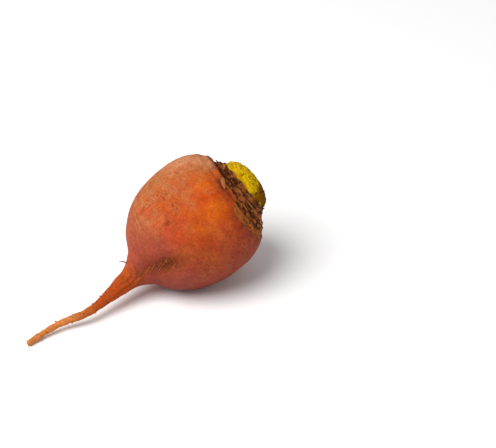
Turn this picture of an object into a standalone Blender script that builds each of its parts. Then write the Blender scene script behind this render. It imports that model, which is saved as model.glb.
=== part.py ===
"""A golden beet, topped close to the crown and lying on its side.

The root is one solid: globe, taproot and side rootlets. The crown carries a corky collar of old leaf bases,
and the head of cut leaf stalks stands in the collar. Metres, +Z up, +X from the taproot to the crown, with
the origin at the middle of the small flat that the globe rests on.
"""
import math
import random

import bmesh
import bpy
from mathutils import Matrix, Vector, noise

MM = 0.001

# Globe: a half superellipse towards the crown and another towards the taproot.
GLOBE_R = 30.5 * MM
CROWN_REACH = 30.8 * MM
CROWN_POWER = 3.1
TAIL_REACH = 33.4 * MM
TAIL_POWER = 2.4

# Taproot: distance from the globe's centre along the root, and radius there, in millimetres.
TAPROOT = [
    (20, 13), (31, 11.3), (34.4, 9.7), (37.3, 7.2), (41, 5.4), (45, 4.55), (50, 3.95), (56, 3.0),
    (64.5, 2.1), (75, 1.85), (87, 1.55), (101, 1.42),
]
TAPROOT_EASE = 0.25       # share of each step of the list that is eased, the rest is straight
NECK_START = 18 * MM      # where the taproot starts to swell out of the globe
NECK_LENGTH = 12 * MM
BLEND_POWER = 3.4         # how sharply the globe runs into the taproot
TIP_REACH = 102.6 * MM
TIP_R = 1.1 * MM
TIP_ROUND = 0.15 * MM     # how far the tip's middle stands out

# The root's centre line, from the crown through the globe's centre to the tip.
CENTRE_LINE = [
    (40.2, -7.4, 54.8), (30.1, -5.4, 48.3), (16.6, -2.8, 39.5), (3.2, -0.7, 30.8), (-9.8, -0.3, 23.9),
    (-22.7, -0.4, 17.4), (-35.3, -1.6, 12.2), (-48.8, -4.7, 8.3), (-55.8, -6.5, 6.9), (-62.8, -7.3, 5.7),
    (-69.6, -6.2, 4.7), (-76.5, -5.8, 3.7), (-84.3, -6.7, 2.5), (-93.6, -8.8, 1.36),
]
CENTRE_INDEX = 3          # the point of the list that is the globe's centre
SAMPLES_PER_SPAN = 24
LOOK_AHEAD = 2.5 * MM     # how far each way the line's direction is read

# Crown heights along the centre line, from the globe's centre, and the radii that go with them.
SKIN_RIM = [(25.7, 20.3), (26.35, 19.1), (26.2, 18.35)]
SEAT_HEIGHT = 25.1 * MM
SEAT_R = 17.9 * MM

# Rings: (from, to, step, sides) along the centre line, crown first.
RING_RUNS = [(24.6, 16.5, 0.9, 64), (14.7, -25.0, 2.5, 64), (-27.0, -38.0, 1.5, 64), (-39.6, -52.0, 1.8, 32),
             (-54.4, -102.0, 2.4, 16)]
FLAT_FROM = -40 * MM      # x past which the floor's plane may cut the root: the taproot is left alone

# Relief of the skin.
RELIEF_FULL_R = 8 * MM            # radius from which the relief has its full height
LUMP_SIZE = 17 * MM
LUMP_HEIGHT = 0.75 * MM
DENT_SIZE = 7 * MM
DENT_HEIGHT = 0.22 * MM
DENT_SHIFT = Vector((7, 3, 1))    # keeps the dents apart from the lumps
GROOVE_TURNS = (155.0, -25.0)     # degrees round the centre line of the two root grooves
GROOVE_DRIFT = 0.3                # degrees of drift for each millimetre along the root
GROOVE_DEPTH = 2.4 * MM
GROOVE_SHARE = 0.25               # and never deeper than this share of the radius
GROOVE_CENTRE = -27.0 * MM
GROOVE_REACH = 10.0 * MM
GROOVE_WIDTH = 4.8 * MM
SCAR_PITCH = 3.4 * MM             # leaf-scar rings on the shoulder
SCAR_HEIGHT = 0.28 * MM
SCAR_FROM = 18.0 * MM
SCAR_FADE = 4 * MM
SCAR_WANDER = (9 * MM, 1.4)       # size and strength of the noise that bends the rings
KNUCKLE_PITCH = 7.0 * MM          # swellings along the taproot
KNUCKLE_HEIGHT = 0.09 * MM
KNUCKLES_FROM = -45 * MM
KNUCKLE_WANDER = (6 * MM, 2.0)

# Side rootlets: a row in each groove, and stubs of broken ones along the taproot.
ROOTLET_SEED = 5
ROOTLET_SIDES = 5
ROOTLET_STEPS = 5
ROOTLET_SUNK = 1.3 * MM
ROOTLET_RADII = (0.5 * MM, 0.22 * MM)
ROW_COUNT = 7
ROW_START = -21.5 * MM
ROW_PITCH = 2.6 * MM
ROW_SCATTER = 0.7 * MM
ROW_SWING = 7.0                   # degrees each way
ROW_LENGTHS = (3.0 * MM, 5.0 * MM)
ROW_LEANS = (0.9, 1.6)
ROW_BEND = (-0.3, 0.2, -0.35)     # sweep for each length: along, most to either side, and down
NUBS = [(-53, 185), (-58, 54), (-64, 72), (-71, 128), (-77, 200), (-84, 54), (-91, 150)]    # mm and degrees
NUB_LENGTH = 1.0 * MM
NUB_LEAN = 0.8
NUB_RADII = (0.5 * MM, 0.3 * MM)

# Collar of old leaf bases, in the crown's own axes, with heights from the globe's centre.
COLLAR_SIDES = 44
COLLAR_OUTLINE = [
    (25.5, 17.2), (26.0, 17.7), (26.5, 17.75), (26.8, 16.9), (27.3, 17.1), (27.8, 16.9), (28.1, 16.0),
    (28.6, 16.1), (29.0, 15.9), (29.3, 15.0), (29.7, 14.6), (29.5, 14.1), (28.6, 13.9),
]
COLLAR_SEED = 11
RIPPLE_HEIGHT = 0.35 * MM
RIPPLE_SPAN = (26.0, 29.6)        # crown heights between which the outer face is uneven
SCALE_TIERS = [                   # crown height, radius, count and length
    (26.2, 16.0, 13, 3.1),
    (27.3, 15.3, 12, 2.9),
    (28.3, 14.8, 11, 2.7),
]
SCALE_THICKNESS = 0.8 * MM
SCALE_POINTS = 4
SCALE_SCATTER = 0.18              # shares of the space between two scales
SCALE_FLARES = (0.1, 0.45)
SCALE_STRETCH = (0.8, 1.15)
SCALE_HALF_WIDTHS = (3.4 * MM, 4.6 * MM)
SCALE_TAPER = 0.75
SCALE_HOLLOW = 0.16
SHRED_COUNT = 9
SHRED_PLACE = (15.2, 27.6)        # radius and crown height
SHRED_SCATTER = 0.3
SHRED_FLARES = (0.0, 0.15)
SHRED_SLANT = 0.6
SHRED_STEPS = (0.75, 1.05)
SHRED_CURL = 0.04
SHRED_HALF_WIDTHS = (0.7 * MM, 1.1 * MM)

# Cut leaf stalks, in the crown's own axes.
STALK_COUNT = 44
STALK_SEED = 3
STALK_BED = [(29.0, 13.2), (29.9, 13.45), (30.6, 12.9), (31.6, 10.0), (32.3, 6.0)]
BED_SIDES = 40
STALK_FIELD_R = 12.6 * MM
STALK_SPREAD = 0.92               # share of the field that the stalks' middles fill
STALK_FOOT = 29.5 * MM
STALK_RIM_R = 13.3 * MM           # no stalk leans out past this
STALK_LEAN = 0.22
STALK_WIDTH = (1.4 * MM, 1.4 * MM)        # half width in the middle of the crown, and what the rim adds
STALK_DEPTH = (1.1 * MM, 0.5 * MM)        # the same for the thickness
STALK_SCATTER = 0.1
STALK_LIFT = 0.4 * MM
STALK_SLOPE = 0.15
RIB_POINTS = 9
RIB_HIGH = 0.09
RIB_LOW = -0.05
CUT_TOP = 36.9 * MM
CUT_DROP = 4.4 * MM
CUT_POWER = 2.6
GOLDEN_TURN = math.pi * (3.0 - math.sqrt(5.0))


def clear_scene():
    for obj in list(bpy.data.objects):
        bpy.data.objects.remove(obj)


def material(name, colour, roughness):
    made = bpy.data.materials.new(name)
    made.use_nodes = True
    shader = made.node_tree.nodes["Principled BSDF"]
    shader.inputs["Base Color"].default_value = (*colour, 1.0)
    shader.inputs["Roughness"].default_value = roughness
    shader.inputs["Metallic"].default_value = 0.0
    return made


def node_from(bm, name, finish, parent=None):
    """A named object from a bmesh, shaded smooth with its faces pointing out."""
    bmesh.ops.recalc_face_normals(bm, faces=bm.faces)
    mesh = bpy.data.meshes.new(name)
    bm.to_mesh(mesh)
    bm.free()
    mesh.materials.append(finish)
    mesh.shade_smooth()
    mesh.set_sharp_from_angle(angle=math.radians(40))
    obj = bpy.data.objects.new(name, mesh)
    bpy.context.scene.collection.objects.link(obj)
    obj.parent = parent
    return obj


def catmull_rom(p0, p1, p2, p3, t):
    square = (2 * p0 - 5 * p1 + 4 * p2 - p3) * t ** 2
    cube = (3 * p1 - p0 - 3 * p2 + p3) * t ** 3
    return 0.5 * (2 * p1 + (p2 - p0) * t + square + cube)


class CentreLine:
    """The root's smooth centre line, read by distance from the globe's centre, + towards the crown."""

    def __init__(self, points, centre_index):
        knots = [Vector(p) * MM for p in points]
        knots = [2 * knots[0] - knots[1], *knots, 2 * knots[-1] - knots[-2]]
        self.points = []
        for i in range(len(knots) - 3):
            for k in range(SAMPLES_PER_SPAN):
                self.points.append(catmull_rom(*knots[i:i + 4], k / SAMPLES_PER_SPAN))
        self.points.append(knots[-2])
        self.along = [0.0]
        for a, b in zip(self.points, self.points[1:]):
            self.along.append(self.along[-1] - (b - a).length)
        centre = self.along[centre_index * SAMPLES_PER_SPAN]
        self.along = [s - centre for s in self.along]

    def point(self, u):
        for i in range(len(self.points) - 1):
            if u >= self.along[i + 1]:
                break
        share = (self.along[i] - u) / (self.along[i] - self.along[i + 1])
        return self.points[i].lerp(self.points[i + 1], share)

    def axes(self, u):
        """(tangent towards the crown, sideways, upper side) at u."""
        tangent = (self.point(u + LOOK_AHEAD) - self.point(u - LOOK_AHEAD)).normalized()
        side = Vector((0, 1, 0))
        side = (side - side.dot(tangent) * tangent).normalized()
        return tangent, side, tangent.cross(side)


def smooth_step(x):
    x = min(1.0, max(0.0, x))
    return x * x * (3.0 - 2.0 * x)


def taproot_radius(distance):
    """Radius from the TAPROOT list, on smooth steps between its entries."""
    d = distance / MM
    if d <= TAPROOT[0][0]:
        return TAPROOT[0][1] * MM
    for (d0, r0), (d1, r1) in zip(TAPROOT, TAPROOT[1:]):
        if d <= d1:
            share = (d - d0) / (d1 - d0)
            eased = share + (smooth_step(share) - share) * TAPROOT_EASE
            return (r0 + (r1 - r0) * eased) * MM
    return TAPROOT[-1][1] * MM


def root_radius(u):
    """Plain radius of the root at u along its centre line."""
    reach, power = (CROWN_REACH, CROWN_POWER) if u > 0 else (TAIL_REACH, TAIL_POWER)
    globe = GLOBE_R * math.sqrt(max(0.0, 1.0 - (abs(u) / reach) ** power))
    if u > -NECK_START:
        return globe
    tail = taproot_radius(-u) * smooth_step((-u - NECK_START) / NECK_LENGTH)
    return (globe ** BLEND_POWER + tail ** BLEND_POWER) ** (1.0 / BLEND_POWER)


def angle_gap(a, b):
    """Smallest difference of two angles in radians."""
    return (a - b + math.pi) % (2 * math.pi) - math.pi


def groove(u, angle, radius):
    """How far the two root grooves sink the skin."""
    window = math.exp(-((u - GROOVE_CENTRE) / GROOVE_REACH) ** 2)
    sunk = 0.0
    for turn in GROOVE_TURNS:
        middle = math.radians(turn + GROOVE_DRIFT * (u - GROOVE_CENTRE) / MM)
        across = angle_gap(angle, middle) * radius
        sunk += math.exp(-(across / GROOVE_WIDTH) ** 2)
    return sunk * window * min(GROOVE_DEPTH, GROOVE_SHARE * radius)


def relief(u, angle, radius, point):
    """Height of the skin's relief above the plain radius."""
    fade = smooth_step(radius / RELIEF_FULL_R)
    height = LUMP_HEIGHT * fade * noise.noise(point / LUMP_SIZE)
    height += DENT_HEIGHT * fade * noise.noise(point / DENT_SIZE + DENT_SHIFT)
    height -= groove(u, angle, radius)
    if u > SCAR_FROM:
        strength = smooth_step((u - SCAR_FROM) / SCAR_FADE)
        height += SCAR_HEIGHT * strength * wave(u / SCAR_PITCH, point, *SCAR_WANDER)
    if u < KNUCKLES_FROM:
        height += KNUCKLE_HEIGHT * wave(u / KNUCKLE_PITCH, point, *KNUCKLE_WANDER)
    return height


def wave(turns, point, size, strength):
    """A sine that noise of this size and strength bends."""
    return math.sin(2 * math.pi * turns + noise.noise(point / size) * strength)


def skin_point(line, u, angle):
    """A point of the root's skin."""
    _, side, top = line.axes(u)
    outward = math.cos(angle) * side + math.sin(angle) * top
    radius = root_radius(u)
    centre = line.point(u)
    height = relief(u, angle, radius, centre + outward * radius)
    return centre + outward * (radius + height), outward


def add_ring(bm, points):
    return [bm.verts.new(p) for p in points]


def join_rings(bm, first, second):
    """Faces between two rings: as many sides each, or half as many on the second."""
    n = len(second)
    for i in range(n):
        j = (i + 1) % n
        if len(first) == n:
            bm.faces.new((first[i], first[j], second[j], second[i]))
        else:
            a, b, c = first[2 * i], first[2 * i + 1], first[(2 * i + 2) % len(first)]
            bm.faces.new((a, b, second[i]))
            bm.faces.new((b, c, second[j], second[i]))


def close_ring(bm, ring, point):
    middle = bm.verts.new(point)
    for i, vert in enumerate(ring):
        bm.faces.new((vert, ring[(i + 1) % len(ring)], middle))


def ring_stations():
    """(u, sides) of every ring of the skin, crown first."""
    stations = []
    for start, end, step, sides in RING_RUNS:
        count = round((start - end) / step)
        stations += [((start + (end - start) * i / count) * MM, sides) for i in range(count + 1)]
    return stations


def crown_rings(line):
    """Rings of the skin's rim and of the seat that the collar stands in."""
    sides = RING_RUNS[0][3]
    tangent, side, top = line.axes(SEAT_HEIGHT)
    base = line.point(SEAT_HEIGHT)
    rings = []
    for height, radius in [(SEAT_HEIGHT / MM, SEAT_R / MM), *reversed(SKIN_RIM)]:
        centre = base + tangent * (height * MM - SEAT_HEIGHT)
        turns = (2 * math.pi * i / sides for i in range(sides))
        rings.append([centre + (math.cos(a) * side + math.sin(a) * top) * radius * MM for a in turns])
    return base, rings


def floor_flat(bm):
    """Cuts the globe's underside on the plane it rests on and fills the cut."""
    geometry = [g for g in (*bm.verts, *bm.edges, *bm.faces) if centre_of(g).x > FLAT_FROM]
    plane = {"plane_co": (0, 0, 0), "plane_no": (0, 0, -1)}
    cut = bmesh.ops.bisect_plane(bm, geom=geometry, dist=1e-6, clear_outer=True, **plane)
    rim = [e for e in cut["geom_cut"] if isinstance(e, bmesh.types.BMEdge)]
    bmesh.ops.contextual_create(bm, geom=rim)


def centre_of(element):
    if isinstance(element, bmesh.types.BMVert):
        return element.co
    points = [v.co for v in element.verts]
    return sum(points, Vector()) / len(points)


def build_root(line, finish):
    bm = bmesh.new()
    base, crown = crown_rings(line)
    rings = [add_ring(bm, points) for points in crown]
    close_ring(bm, rings[0], base)
    for u, sides in ring_stations():
        turns = (2 * math.pi * i / sides for i in range(sides))
        rings.append(add_ring(bm, [skin_point(line, u, a)[0] for a in turns]))
    tangent, side, top = line.axes(-TIP_REACH)
    tip = line.point(-TIP_REACH)
    sides = RING_RUNS[-1][3]
    turns = (2 * math.pi * i / sides for i in range(sides))
    rings.append(add_ring(bm, [tip + (math.cos(a) * side + math.sin(a) * top) * TIP_R for a in turns]))
    for first, second in zip(rings, rings[1:]):
        join_rings(bm, first, second)
    close_ring(bm, rings[-1], tip - tangent * TIP_ROUND)
    floor_flat(bm)
    return node_from(bm, "root", finish)


def tube(path, radii, sides):
    """A closed tapered tube along a path."""
    bm = bmesh.new()
    rings = []
    reference = Vector((0.31, 0.17, 0.93))
    for i, (point, radius) in enumerate(zip(path, radii)):
        tangent = (path[min(i + 1, len(path) - 1)] - path[max(i - 1, 0)]).normalized()
        side = tangent.cross(reference).normalized()
        top = tangent.cross(side)
        turns = (2 * math.pi * k / sides for k in range(sides))
        rings.append(add_ring(bm, [point + (math.cos(a) * side + math.sin(a) * top) * radius for a in turns]))
    for first, second in zip(rings, rings[1:]):
        join_rings(bm, first, second)
    bm.faces.new(rings[0])
    bm.faces.new(rings[-1])
    return bm


def rootlet(line, u, angle, length, lean, bend, ends):
    """A side rootlet leaning towards the taproot; ends are its first and last radius."""
    start, outward = skin_point(line, u, angle)
    tangent, _, _ = line.axes(u)
    way = (outward - lean * tangent).normalized()
    path, radii = [], []
    for k in range(ROOTLET_STEPS + 1):
        share = k / ROOTLET_STEPS
        straight = start - outward * ROOTLET_SUNK + way * (ROOTLET_SUNK + length) * share
        path.append(straight + bend * length * share ** 2)
        radii.append(ends[0] + (ends[1] - ends[0]) * share)
    return tube(path, radii, ROOTLET_SIDES)


def rootlets(line):
    """The rootlets' meshes: rows in the two grooves, then the stubs along the taproot."""
    draw = random.Random(ROOTLET_SEED)
    along, sideways, down = ROW_BEND
    made = []
    for turn in GROOVE_TURNS:
        for i in range(ROW_COUNT):
            u = ROW_START - ROW_PITCH * i + draw.uniform(-ROW_SCATTER, ROW_SCATTER)
            drift = GROOVE_DRIFT * (u - GROOVE_CENTRE) / MM
            angle = math.radians(turn + drift + draw.uniform(-ROW_SWING, ROW_SWING))
            bend = Vector((along, draw.uniform(-sideways, sideways), down))
            length, lean = draw.uniform(*ROW_LENGTHS), draw.uniform(*ROW_LEANS)
            made.append(rootlet(line, u, angle, length, lean, bend, ROOTLET_RADII))
    for u, turn in NUBS:
        made.append(rootlet(line, u * MM, math.radians(turn), NUB_LENGTH, NUB_LEAN, Vector(), NUB_RADII))
    return made


def fuse(body, parts):
    """Joins the parts' meshes to the body with one Boolean union, and removes them."""
    group = bpy.data.collections.new(body.name + "_repeats")
    bpy.context.scene.collection.children.link(group)
    for i, bm in enumerate(parts):
        bmesh.ops.recalc_face_normals(bm, faces=bm.faces)
        mesh = bpy.data.meshes.new(f"{body.name}_repeat_{i}")
        bm.to_mesh(mesh)
        bm.free()
        repeat = bpy.data.objects.new(mesh.name, mesh)
        repeat.parent = body.parent
        group.objects.link(repeat)
    union = body.modifiers.new("join", "BOOLEAN")
    union.operation = "UNION"
    union.operand_type = "COLLECTION"
    union.collection = group
    union.solver = "EXACT"
    graph = bpy.context.evaluated_depsgraph_get()
    joined = bpy.data.meshes.new_from_object(body.evaluated_get(graph))
    body.modifiers.clear()
    keep_main_body(joined)
    body.data = joined
    for obj in list(group.objects):
        bpy.data.objects.remove(obj)
    bpy.data.collections.remove(group)


def keep_main_body(mesh):
    """Fills pockets that the union sealed and drops loose scraps: only the largest shell stays."""
    bm = bmesh.new()
    bm.from_mesh(mesh)
    left = set(bm.verts)
    shells = []
    while left:
        shell, front = set(), [left.pop()]
        while front:
            vert = front.pop()
            shell.add(vert)
            near = {edge.other_vert(vert) for edge in vert.link_edges} & left
            left -= near
            front.extend(near)
        shells.append(shell)
    shells.sort(key=len)
    bmesh.ops.delete(bm, geom=[v for shell in shells[:-1] for v in shell], context="VERTS")
    bm.to_mesh(mesh)
    bm.free()


def turned(outline, sides, ripple=None):
    """A closed turned solid about Z, from (height, radius) pairs that run up its outside."""
    bm = bmesh.new()
    rings = []
    for height, radius in outline:
        ring = []
        for i in range(sides):
            a = 2 * math.pi * i / sides
            reach = radius * MM + (ripple(height, a) if ripple else 0.0)
            ring.append(Vector((math.cos(a) * reach, math.sin(a) * reach, height * MM)))
        rings.append(add_ring(bm, ring))
    for first, second in zip(rings, rings[1:]):
        join_rings(bm, first, second)
    close_ring(bm, rings[0], Vector((0, 0, outline[0][0] * MM)))
    close_ring(bm, rings[-1], Vector((0, 0, outline[-1][0] * MM)))
    return bm


def plate(spine, half_width, across, outward, thickness):
    """A thin closed scale: three columns wide, following a spine of points, with rounded ends."""
    bm = bmesh.new()
    last = len(spine) - 1
    fronts, backs = [], []
    for i, point in enumerate(spine):
        share = i / last
        width = half_width * (1.0 - SCALE_TAPER * share ** 2)
        hollow = SCALE_HOLLOW * half_width
        row = [point + across * width * c - outward * hollow * c * c for c in (-1.0, 0.0, 1.0)]
        fronts.append([bm.verts.new(p + outward * thickness / 2) for p in row])
        backs.append([bm.verts.new(p - outward * thickness / 2) for p in row])
    columns = len(fronts[0])
    for i in range(last):
        for j in range(columns - 1):
            bm.faces.new((fronts[i][j], fronts[i][j + 1], fronts[i + 1][j + 1], fronts[i + 1][j]))
            bm.faces.new((backs[i][j], backs[i + 1][j], backs[i + 1][j + 1], backs[i][j + 1]))
        for j in (0, columns - 1):
            bm.faces.new((fronts[i][j], fronts[i + 1][j], backs[i + 1][j], backs[i][j]))
    for i in (0, last):
        for j in range(columns - 1):
            bm.faces.new((fronts[i][j], fronts[i][j + 1], backs[i][j + 1], backs[i][j]))
    return bm


def collar_scales():
    """Old leaf bases: tiers of crescent scales that overlap like tiles, and a few dried shreds."""
    draw = random.Random(COLLAR_SEED)
    made = []
    up = Vector((0, 0, 1))
    for tier, (height, radius, count, length) in enumerate(SCALE_TIERS):
        for i in range(count):
            a = 2 * math.pi * (i + 0.5 * tier + draw.uniform(-SCALE_SCATTER, SCALE_SCATTER)) / count
            outward = Vector((math.cos(a), math.sin(a), 0))
            flare = draw.uniform(*SCALE_FLARES)
            step = (up + outward * flare) * length * draw.uniform(*SCALE_STRETCH) / (SCALE_POINTS - 1)
            start = outward * radius + up * height
            spine = [(start + step * k) * MM for k in range(SCALE_POINTS)]
            half_width = draw.uniform(*SCALE_HALF_WIDTHS)
            made.append(plate(spine, half_width, up.cross(outward), outward, SCALE_THICKNESS))
    shred_radius, shred_height = SHRED_PLACE
    for i in range(SHRED_COUNT):
        a = 2 * math.pi * (i + draw.uniform(-SHRED_SCATTER, SHRED_SCATTER)) / SHRED_COUNT
        outward = Vector((math.cos(a), math.sin(a), 0))
        across = up.cross(outward)
        way = up + outward * draw.uniform(*SHRED_FLARES) + across * draw.uniform(-SHRED_SLANT, SHRED_SLANT)
        start = outward * shred_radius + up * shred_height
        steps = [k * draw.uniform(*SHRED_STEPS) for k in range(SCALE_POINTS)]
        spine = [(start + way * s + outward * SHRED_CURL * k * k) * MM for k, s in enumerate(steps)]
        made.append(plate(spine, draw.uniform(*SHRED_HALF_WIDTHS), across, outward, SCALE_THICKNESS))
    return made


def collar_ripple(height, angle):
    """Uneven outer face of the collar; its inside and underside stay plain."""
    if not RIPPLE_SPAN[0] < height < RIPPLE_SPAN[1]:
        return 0.0
    place = Vector((math.cos(angle) * 2.2, math.sin(angle) * 2.2, height * 0.35))
    return RIPPLE_HEIGHT * noise.noise(place)


def build_collar(finish, crown):
    collar = node_from(turned(COLLAR_OUTLINE, COLLAR_SIDES, collar_ripple), "leaf_base_collar", finish, crown)
    fuse(collar, collar_scales())
    return collar


def stalk_section(half_width, thickness):
    """A leaf stalk's crescent: ribbed on its back, hollow towards the crown's middle."""
    section = []
    for k in range(RIB_POINTS):
        phi = math.pi * (k / (RIB_POINTS - 1) - 0.5)
        rib = 1.0 + (RIB_HIGH if k % 2 == 0 else RIB_LOW)
        section.append(Vector((thickness * (1.5 * math.cos(phi) * rib - 0.5), half_width * math.sin(phi), 0)))
    for across in (0.66, 0.0, -0.66):
        section.append(Vector((thickness * (-0.1 - 0.45 * abs(across)), half_width * across, 0)))
    return section


def cut_height(distance):
    """Height of the knife's cut over a point at this distance from the crown's middle."""
    return CUT_TOP - CUT_DROP * (distance / STALK_FIELD_R) ** CUT_POWER


def stalk(index, draw):
    """One cut stalk, sunk in the bed and cut on the slope of the crown's dome."""
    share = (index + 0.5) / STALK_COUNT
    distance = STALK_FIELD_R * math.sqrt(share) * STALK_SPREAD
    turn = index * GOLDEN_TURN
    outward = Vector((math.cos(turn), math.sin(turn), 0))
    across = Vector((-math.sin(turn), math.cos(turn), 0))
    least, most = 1.0 - STALK_SCATTER, 1.0 + STALK_SCATTER
    half_width = (STALK_WIDTH[0] + STALK_WIDTH[1] * math.sqrt(share)) * draw.uniform(least, most)
    thickness = (STALK_DEPTH[0] + STALK_DEPTH[1] * share) * draw.uniform(least, most)
    centre = outward * distance
    lift = draw.uniform(-STALK_LIFT, STALK_LIFT)
    slope = draw.uniform(-STALK_SLOPE, STALK_SLOPE)
    low, high = [], []
    for p in stalk_section(half_width, thickness):
        at = centre + outward * p.x + across * p.y
        low.append(at + Vector((0, 0, STALK_FOOT)))
        height = cut_height(min(at.length, STALK_FIELD_R)) + lift + slope * p.y
        lean = min(STALK_LEAN * share * (height - STALK_FOOT), STALK_RIM_R - at.length)
        high.append(at + Vector((0, 0, height)) + outward * lean)
    bm = bmesh.new()
    bottom, top = add_ring(bm, low), add_ring(bm, high)
    join_rings(bm, bottom, top)
    bm.faces.new(bottom)
    bm.faces.new(top)
    bmesh.ops.triangulate(bm, faces=[f for f in bm.faces if len(f.verts) > 4])
    return bm


def build_stalks(finish, crown):
    draw = random.Random(STALK_SEED)
    head = node_from(turned(STALK_BED, BED_SIDES), "leaf_stalk_stubs", finish, crown)
    fuse(head, [stalk(i, draw) for i in range(STALK_COUNT)])
    return head


def crown_axes(line):
    """An empty at the globe's centre whose Z runs along the crown, for the pieces that the crown carries."""
    tangent, side, top = line.axes(SEAT_HEIGHT)
    origin = line.point(SEAT_HEIGHT) - tangent * SEAT_HEIGHT
    crown = bpy.data.objects.new("crown_axes", None)
    bpy.context.scene.collection.objects.link(crown)
    crown.matrix_world = Matrix.Translation(origin) @ Matrix((side, top, tangent)).transposed().to_4x4()
    return crown


def main():
    clear_scene()
    skin = material("golden_beet_skin", (0.62, 0.155, 0.04), 0.5)
    cork = material("old_leaf_base", (0.16, 0.075, 0.025), 0.8)
    flesh = material("cut_leaf_stalk", (0.62, 0.40, 0.03), 0.55)
    line = CentreLine(CENTRE_LINE, CENTRE_INDEX)
    root = build_root(line, skin)
    fuse(root, rootlets(line))
    crown = crown_axes(line)
    build_collar(cork, crown)
    build_stalks(flesh, crown)


main()
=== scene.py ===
import math
import random

import bpy
import numpy as np
from mathutils import Matrix, Vector, noise


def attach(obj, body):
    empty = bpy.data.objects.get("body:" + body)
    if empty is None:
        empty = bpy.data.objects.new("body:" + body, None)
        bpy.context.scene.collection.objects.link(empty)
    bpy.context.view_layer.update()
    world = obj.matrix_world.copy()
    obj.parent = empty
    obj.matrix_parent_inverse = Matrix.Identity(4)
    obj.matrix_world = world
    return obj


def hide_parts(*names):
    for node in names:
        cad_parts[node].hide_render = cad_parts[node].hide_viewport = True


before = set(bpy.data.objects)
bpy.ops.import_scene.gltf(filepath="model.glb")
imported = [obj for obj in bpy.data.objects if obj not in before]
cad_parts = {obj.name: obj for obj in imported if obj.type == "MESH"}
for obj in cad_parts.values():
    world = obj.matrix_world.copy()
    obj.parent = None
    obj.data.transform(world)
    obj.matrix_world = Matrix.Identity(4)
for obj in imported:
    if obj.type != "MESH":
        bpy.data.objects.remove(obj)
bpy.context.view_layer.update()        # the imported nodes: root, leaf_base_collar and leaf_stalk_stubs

mm = 0.001


# Small helpers

def setMode(mode):
    bpy.ops.object.mode_set(mode=mode)


def deselectAll():
    if bpy.context.object and bpy.context.object.mode != "OBJECT":
        setMode("OBJECT")
    bpy.ops.object.select_all(action="DESELECT")


def workOn(piece):
    deselectAll()
    piece.select_set(True)
    bpy.context.view_layer.objects.active = piece


def applyModifier(piece, kind, **settings):
    workOn(piece)
    modifier = piece.modifiers.new(kind, kind)
    for key, value in settings.items():
        setattr(modifier, key, value)
    bpy.ops.object.modifier_apply(modifier=modifier.name)


def smoothOut(piece, levels):
    applyModifier(piece, "SUBSURF", levels=levels, render_levels=levels)


def joinAll(pieces, name):
    workOn(pieces[0])
    for piece in pieces[1:]:
        piece.select_set(True)
    bpy.ops.object.join()
    pieces[0].name = pieces[0].data.name = name
    return pieces[0]


def finishPiece(piece, name, material, node=None):
    piece.name = piece.data.name = name
    piece.data.materials.clear()
    piece.data.materials.append(material)
    workOn(piece)
    bpy.ops.object.shade_smooth()
    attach(piece, "root")
    if node:
        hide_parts(node)
    print("made", name, len(piece.data.polygons), "faces")
    return piece


def readPlaces(mesh):
    places = np.empty(len(mesh.vertices) * 3)
    mesh.vertices.foreach_get("co", places)
    return places.reshape(-1, 3)


def writePlaces(mesh, places):
    mesh.vertices.foreach_set("co", np.ascontiguousarray(places, dtype=float).ravel())
    mesh.update()


def newAttribute(mesh, name, kind, key, values):
    old = mesh.attributes.get(name)
    if old:
        mesh.attributes.remove(old)
    mesh.attributes.new(name, kind, "POINT").data.foreach_set(key, values)


def writeMasks(mesh, **masks):
    # each mask is an array or one number, for the materials to read
    for name, values in masks.items():
        newAttribute(mesh, name, "FLOAT", "value", np.full(len(mesh.vertices), values, dtype=float))


def writeFibres(mesh, *axes, name="fibrePlace"):
    # three lengths in millimetres at every point, for patterns that follow the growth
    places = np.stack(np.broadcast_arrays(*axes), 1) * mm
    newAttribute(mesh, name, "FLOAT_VECTOR", "vector", np.ascontiguousarray(places).ravel())


def readMask(mesh, name):
    values = np.empty(len(mesh.vertices))
    mesh.attributes[name].data.foreach_get("value", values)
    return values


def clip01(x):
    return np.clip(x, 0.0, 1.0)


def ease(x):
    x = clip01(x)
    return x * x * (3.0 - 2.0 * x)


def cloud(places, size, seed=(0.0, 0.0, 0.0)):
    # smooth noise at every place, about -1 to 1; its size is in millimetres
    shift = Vector(seed)
    return np.array([noise.noise(Vector(p) / (size * mm) + shift) for p in places])


def noiseAt(x, y, z):
    # the same at plain numbers, arrays or single
    return np.array([noise.noise(Vector(p)) for p in zip(*np.broadcast_arrays(x, y, z))])


def copyOf(mother, name):
    piece = bpy.data.objects.new(name, mother.data.copy())
    bpy.context.scene.collection.objects.link(piece)
    return piece


# The centre line that the whole beet grows along, in millimetres, crown first

rootLine = {
    "points": [
        (40.2, -7.4, 54.8), (30.1, -5.4, 48.3), (16.6, -2.8, 39.5), (3.2, -0.7, 30.8), (-9.8, -0.3, 23.9),
        (-22.7, -0.4, 17.4), (-35.3, -1.6, 12.2), (-48.8, -4.7, 8.3), (-55.8, -6.5, 6.9), (-62.8, -7.3, 5.7),
        (-69.6, -6.2, 4.7), (-76.5, -5.8, 3.7), (-84.3, -6.7, 2.5), (-93.6, -8.8, 1.36),
    ],
    "globeAt": 3,        # the point that is the globe's centre
    "perSpan": 24,
    "lookAhead": 2.5,    # millimetres each way for the line's direction
}


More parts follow.
